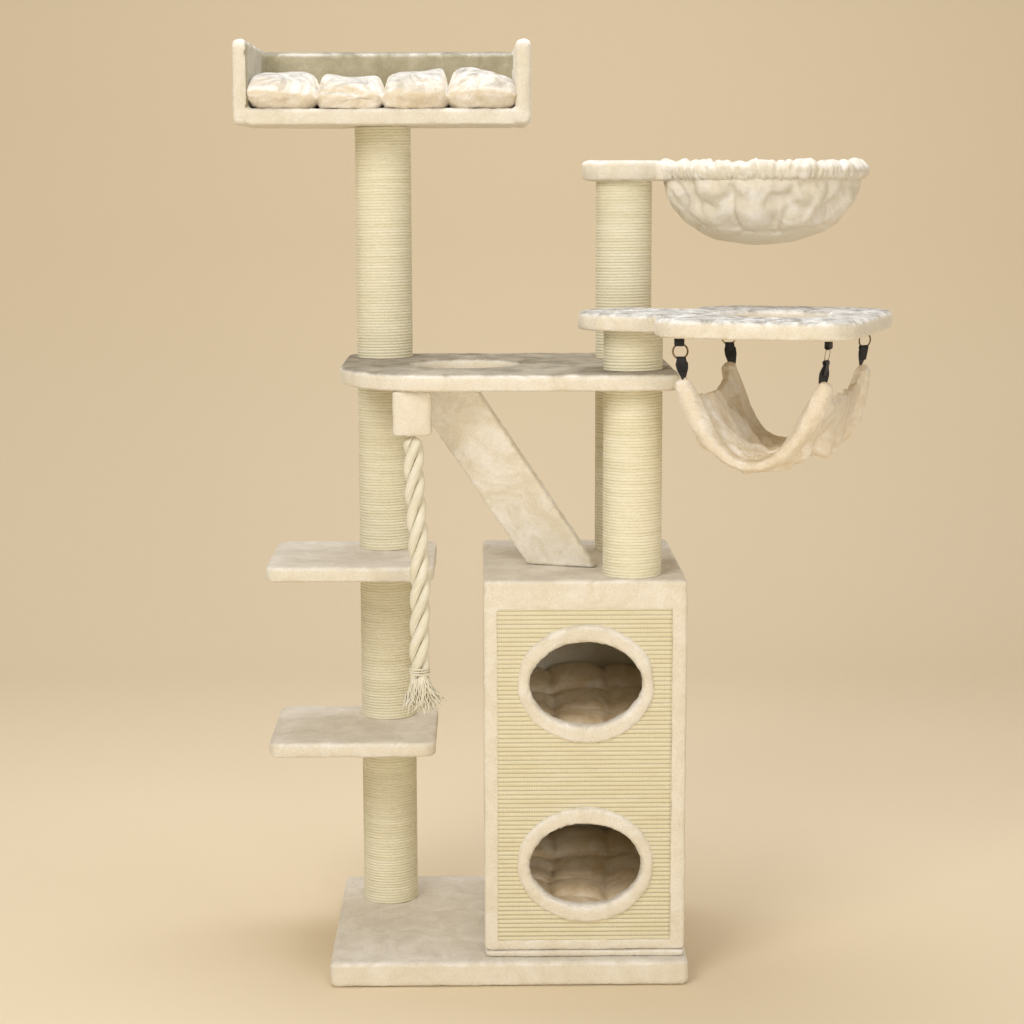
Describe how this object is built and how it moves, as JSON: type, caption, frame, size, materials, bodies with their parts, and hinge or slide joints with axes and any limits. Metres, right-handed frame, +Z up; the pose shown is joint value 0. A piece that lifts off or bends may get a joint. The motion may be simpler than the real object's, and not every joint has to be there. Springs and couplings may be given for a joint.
{
  "type": "cat tree",
  "caption": "Tall plush-covered cat tree: two-storey cabin with oval doorways, sisal posts, steps, ramp, lookout bed, round basket, swinging hammock and a play rope.",
  "frame": {"origin": "middle of the base board's underside, on the floor", "axes": "+Z up, -Y towards the front with the doorways, +X towards the basket and the hammock, the right-hand side seen from the front"},
  "size_m": [1.3307, 0.9092, 1.92],
  "materials": {
    "plush_board": "short cream plush glued over boards, matte",
    "plush_cushion": "longer soft cream plush over stuffing, matte",
    "sisal_winding": "natural sisal cord wound tightly in a spiral, fibrous",
    "sisal_mat": "woven natural sisal mat with horizontal ribs",
    "sisal_rope": "thick laid three-strand natural rope, fibrous",
    "webbing": "black woven polyester webbing",
    "ring_brass": "antiqued, worn satin",
    "fastener_steel": "zinc plated"
  },
  "bodies": {
    "frame": {"base_board": "plush_board", "house_floor": "plush_board", "house_shelf": "plush_board", "house_roof": "plush_board", "house_side_left": "plush_board", "house_side_right": "plush_board", "house_back": "plush_board", "house_front": "plush_board", "door_rim_low": "plush_board", "door_rim_high": "plush_board", "step_low": "plush_board", "step_high": "plush_board", "platform_mid": "plush_board", "ramp_board": "plush_board", "bed_floor": "plush_board", "bed_side_left": "plush_board", "bed_side_right": "plush_board", "bed_back": "plush_board", "basket_ring": "plush_board", "rope_cap": "plush_board", "hammock_platform": "plush_board", "cushion_low": "plush_cushion", "cushion_high": "plush_cushion", "bed_cushion": "plush_cushion", "basket_bowl": "plush_cushion", "post_left_1": "sisal_winding", "post_left_2": "sisal_winding", "post_left_3": "sisal_winding", "post_left_4": "sisal_winding", "post_front_1": "sisal_winding", "post_front_2": "sisal_winding", "post_back_1": "sisal_winding", "post_back_2": "sisal_winding", "house_mat": "sisal_mat", "loop_fl": "webbing", "loop_fr": "webbing", "loop_bl": "webbing", "loop_br": "webbing", "bolt_base": "fastener_steel", "stud_step_low": "fastener_steel", "stud_step_high": "fastener_steel", "stud_mid_left": "fastener_steel", "bolt_bed": "fastener_steel", "bolt_roof_front": "fastener_steel", "bolt_roof_back": "fastener_steel", "stud_mid_front": "fastener_steel", "stud_mid_back": "fastener_steel", "bolt_hammock": "fastener_steel", "bolt_basket": "fastener_steel"},
    "rope_body": {"rope": "sisal_rope", "rope_tassel": "sisal_rope"},
    "strap_body_fl": {"ring_fl": "ring_brass", "strap_fl": "webbing"},
    "strap_body_fr": {"ring_fr": "ring_brass", "strap_fr": "webbing"},
    "strap_body_bl": {"ring_bl": "ring_brass", "strap_bl": "webbing"},
    "strap_body_br": {"ring_br": "ring_brass", "strap_br": "webbing"},
    "hammock": {"hammock_sheet": "plush_cushion"}
  },
  "joints": [
    {"name": "rope_swing", "type": "hinge", "parent": "frame", "child": "rope_body", "pos_m": [-0.188, -0.235, 1.1314], "axis": [1, 0, 0], "range_deg": [-25, 14]},
    {"name": "strap_swing_fl", "type": "hinge", "parent": "frame", "child": "strap_body_fl", "pos_m": [0.32394, -0.42452, 1.326], "axis": [0.9397, -0.342, 0], "range_deg": [-20, 20]},
    {"name": "strap_swing_fr", "type": "hinge", "parent": "frame", "child": "strap_body_fr", "pos_m": [0.59269, -0.52233, 1.326], "axis": [0.9397, -0.342, 0], "range_deg": [-20, 20]},
    {"name": "strap_swing_bl", "type": "hinge", "parent": "frame", "child": "strap_body_bl", "pos_m": [0.45733, -0.05804, 1.326], "axis": [0.9397, -0.342, 0], "range_deg": [-20, 20]},
    {"name": "strap_swing_br", "type": "hinge", "parent": "frame", "child": "strap_body_br", "pos_m": [0.72608, -0.15585, 1.326], "axis": [0.9397, -0.342, 0], "range_deg": [-20, 20]},
    {"name": "hammock_level", "type": "hinge", "parent": "strap_body_fl", "child": "hammock", "pos_m": [0.33334, -0.42794, 1.2585], "axis": [0.9397, -0.342, 0], "range_deg": [-20, 20]}
  ],
  "couplings": [
    {"joint": "strap_swing_fr", "follows": "strap_swing_fl", "ratio": 1},
    {"joint": "strap_swing_bl", "follows": "strap_swing_fl", "ratio": 1},
    {"joint": "strap_swing_br", "follows": "strap_swing_fl", "ratio": 1},
    {"joint": "hammock_level", "follows": "strap_swing_fl", "ratio": -1}
  ]
}
